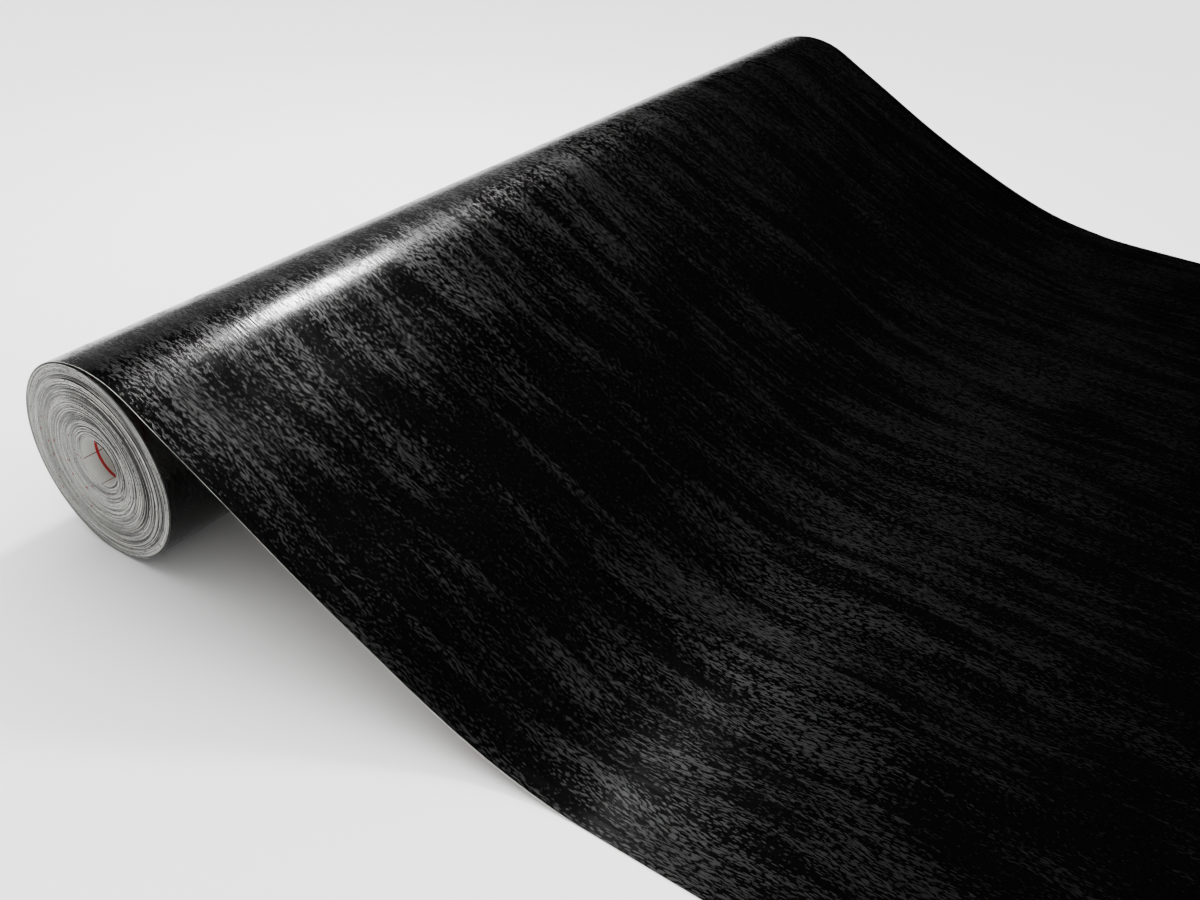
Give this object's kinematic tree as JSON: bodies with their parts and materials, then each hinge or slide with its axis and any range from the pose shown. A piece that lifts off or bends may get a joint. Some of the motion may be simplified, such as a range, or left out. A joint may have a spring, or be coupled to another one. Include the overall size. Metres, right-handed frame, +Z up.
{
  "type": "sign vinyl roll",
  "caption": "Coreless roll of black wood-grain self-adhesive film on its side, its outer end paid out flat, film face up, on its printed release liner.",
  "frame": {"origin": "on the supporting surface, under the middle of the box round the whole object", "axes": "+X along the roll's axis, +Z up, and the sheet is paid out towards -Y"},
  "size_m": [0.45, 0.3878, 0.0658],
  "materials": {
    "film": "satin",
    "adhesive": "gloss",
    "liner": "matte"
  },
  "bodies": {
    "web": {"film_outer_wrap": "film", "adhesive_outer_wrap": "adhesive", "liner_outer_wrap": "liner", "film_paid_out": "film", "adhesive_paid_out": "adhesive", "liner_paid_out": "liner"},
    "pack": {"film_wound_pack": "film", "adhesive_wound_pack": "adhesive", "liner_wound_pack": "liner"},
    "core": {"film_core_turns": "film", "adhesive_core_turns": "adhesive", "liner_core_turns": "liner"},
    "lead": {"film_lead": "film", "adhesive_lead": "adhesive", "liner_lead": "liner"},
    "flap": {"film_flap": "film", "adhesive_flap": "adhesive"}
  },
  "joints": [
    {"name": "roll_turn", "type": "hinge", "parent": "web", "child": "pack", "pos_m": [0, 0.16105, 0.0329], "axis": [1, 0, 0], "continuous": true},
    {"name": "core_telescope", "type": "slide", "parent": "pack", "child": "core", "axis": [1, 0, 0], "range_m": [-0.02, 0.02]},
    {"name": "lead_lift", "type": "hinge", "parent": "web", "child": "lead", "pos_m": [0, -0.07395, 0.00055], "axis": [-1, 0, 0], "range_deg": [0, 75]},
    {"name": "film_peel", "type": "hinge", "parent": "lead", "child": "flap", "pos_m": [0, -0.13395, 0.0071], "axis": [-1, 0, 0], "range_deg": [0, 150]}
  ]
}
